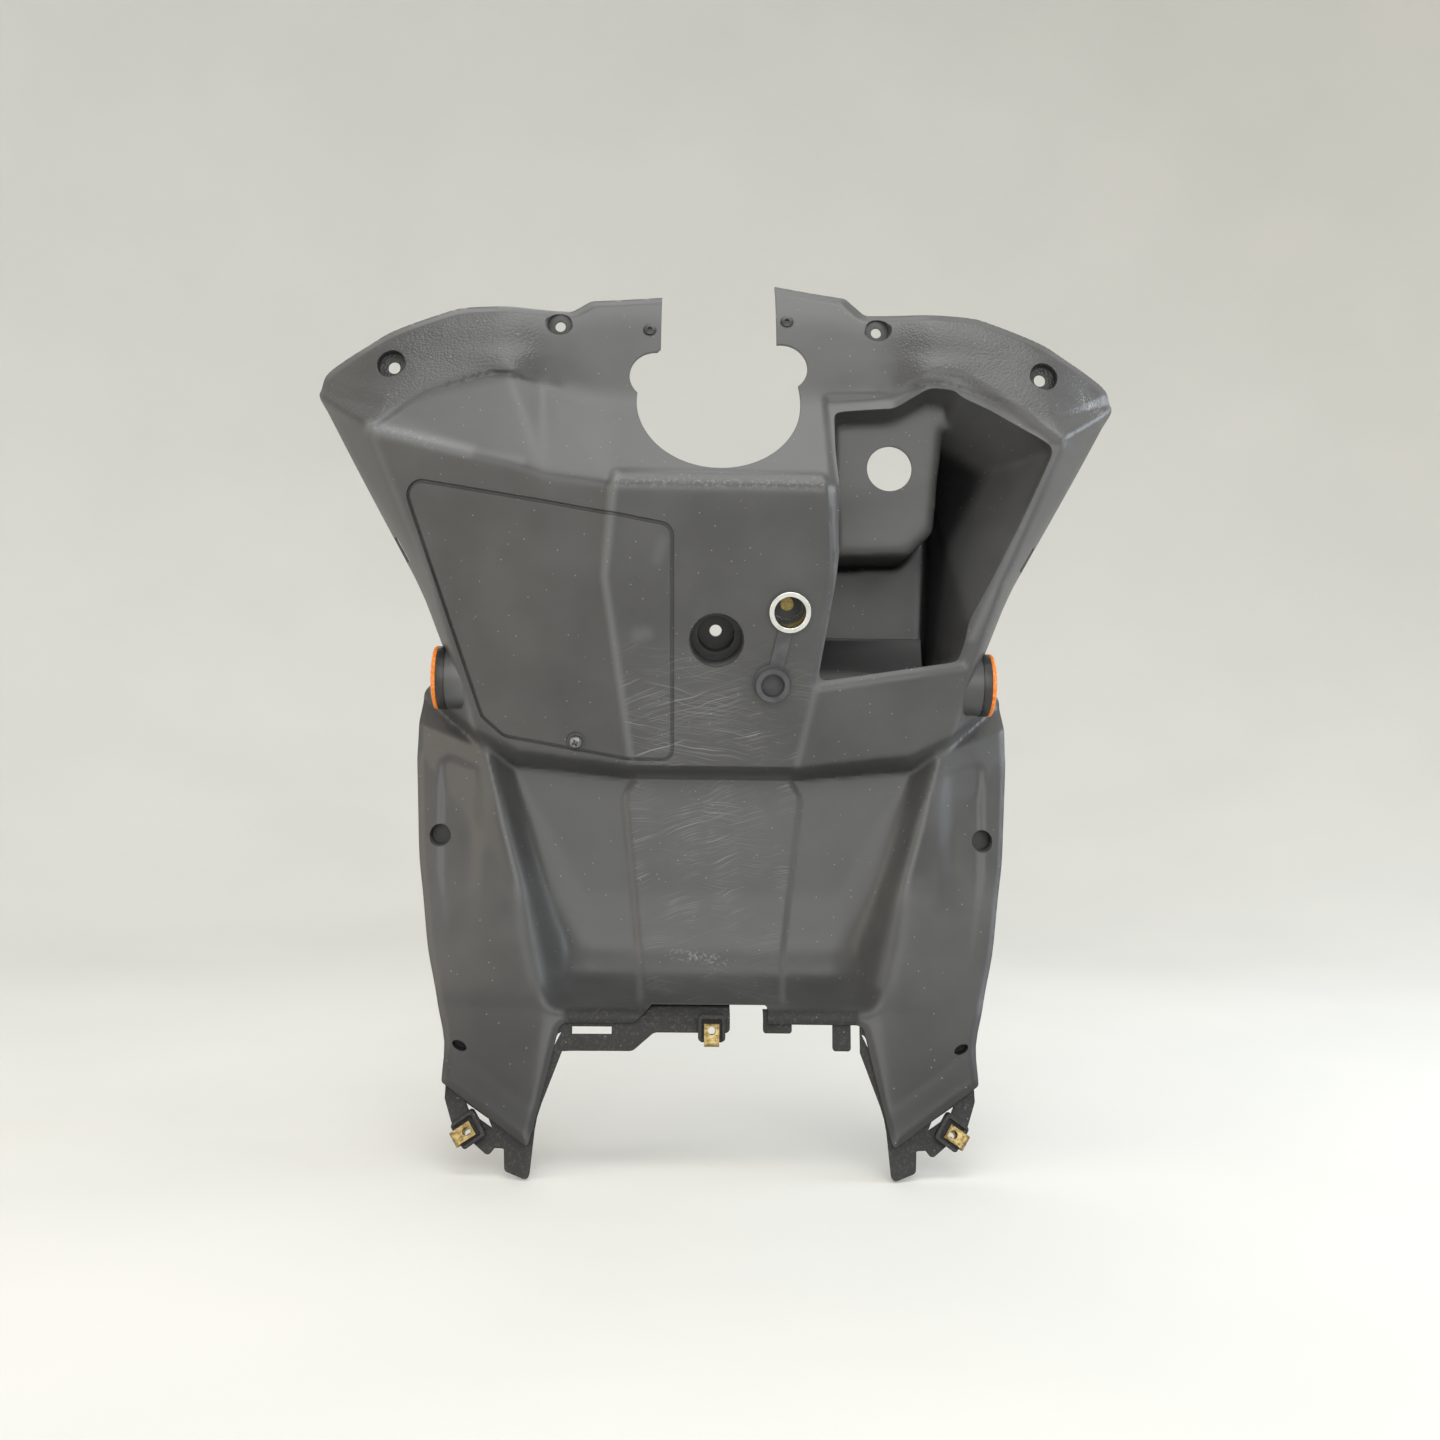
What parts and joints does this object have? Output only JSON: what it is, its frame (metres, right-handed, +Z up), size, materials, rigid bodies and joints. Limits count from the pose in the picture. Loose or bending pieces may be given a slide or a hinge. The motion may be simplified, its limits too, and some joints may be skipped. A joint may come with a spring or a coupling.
{
  "type": "scooter inner leg shield",
  "caption": "Moulded inner leg shield of a scooter's front fairing, with steering notch, open pocket, service cover, accessory socket and side reflectors.",
  "frame": {"origin": "on the axis of the centre bolt recess, at its mouth in the console", "axes": "+X right as the rider sees it, +Y forward and away from the rider, +Z up"},
  "size_m": [0.557, 0.1577, 0.616],
  "materials": {
    "moulded_plastic": "fine grained, scuffed",
    "black_plastic": "satin",
    "cap_rubber": "matt",
    "plated_shell": "bright plated",
    "contact_brass": "dull",
    "zinc_steel": "yellow passivated zinc",
    "amber_lens": "clear, prismatic back"
  },
  "bodies": {
    "root": {"leg_shield": "moulded_plastic", "battery_cover": "moulded_plastic", "cover_screw": "zinc_steel", "socket_shell": "plated_shell", "socket_insulator": "black_plastic", "socket_centre_contact": "contact_brass", "socket_ring_nut": "black_plastic", "socket_cap": "cap_rubber", "reflector_lens_left": "amber_lens", "reflector_lens_right": "amber_lens", "reflector_housing_left": "black_plastic", "reflector_housing_right": "black_plastic", "clip_nuts": "zinc_steel"}
  },
  "joints": []
}
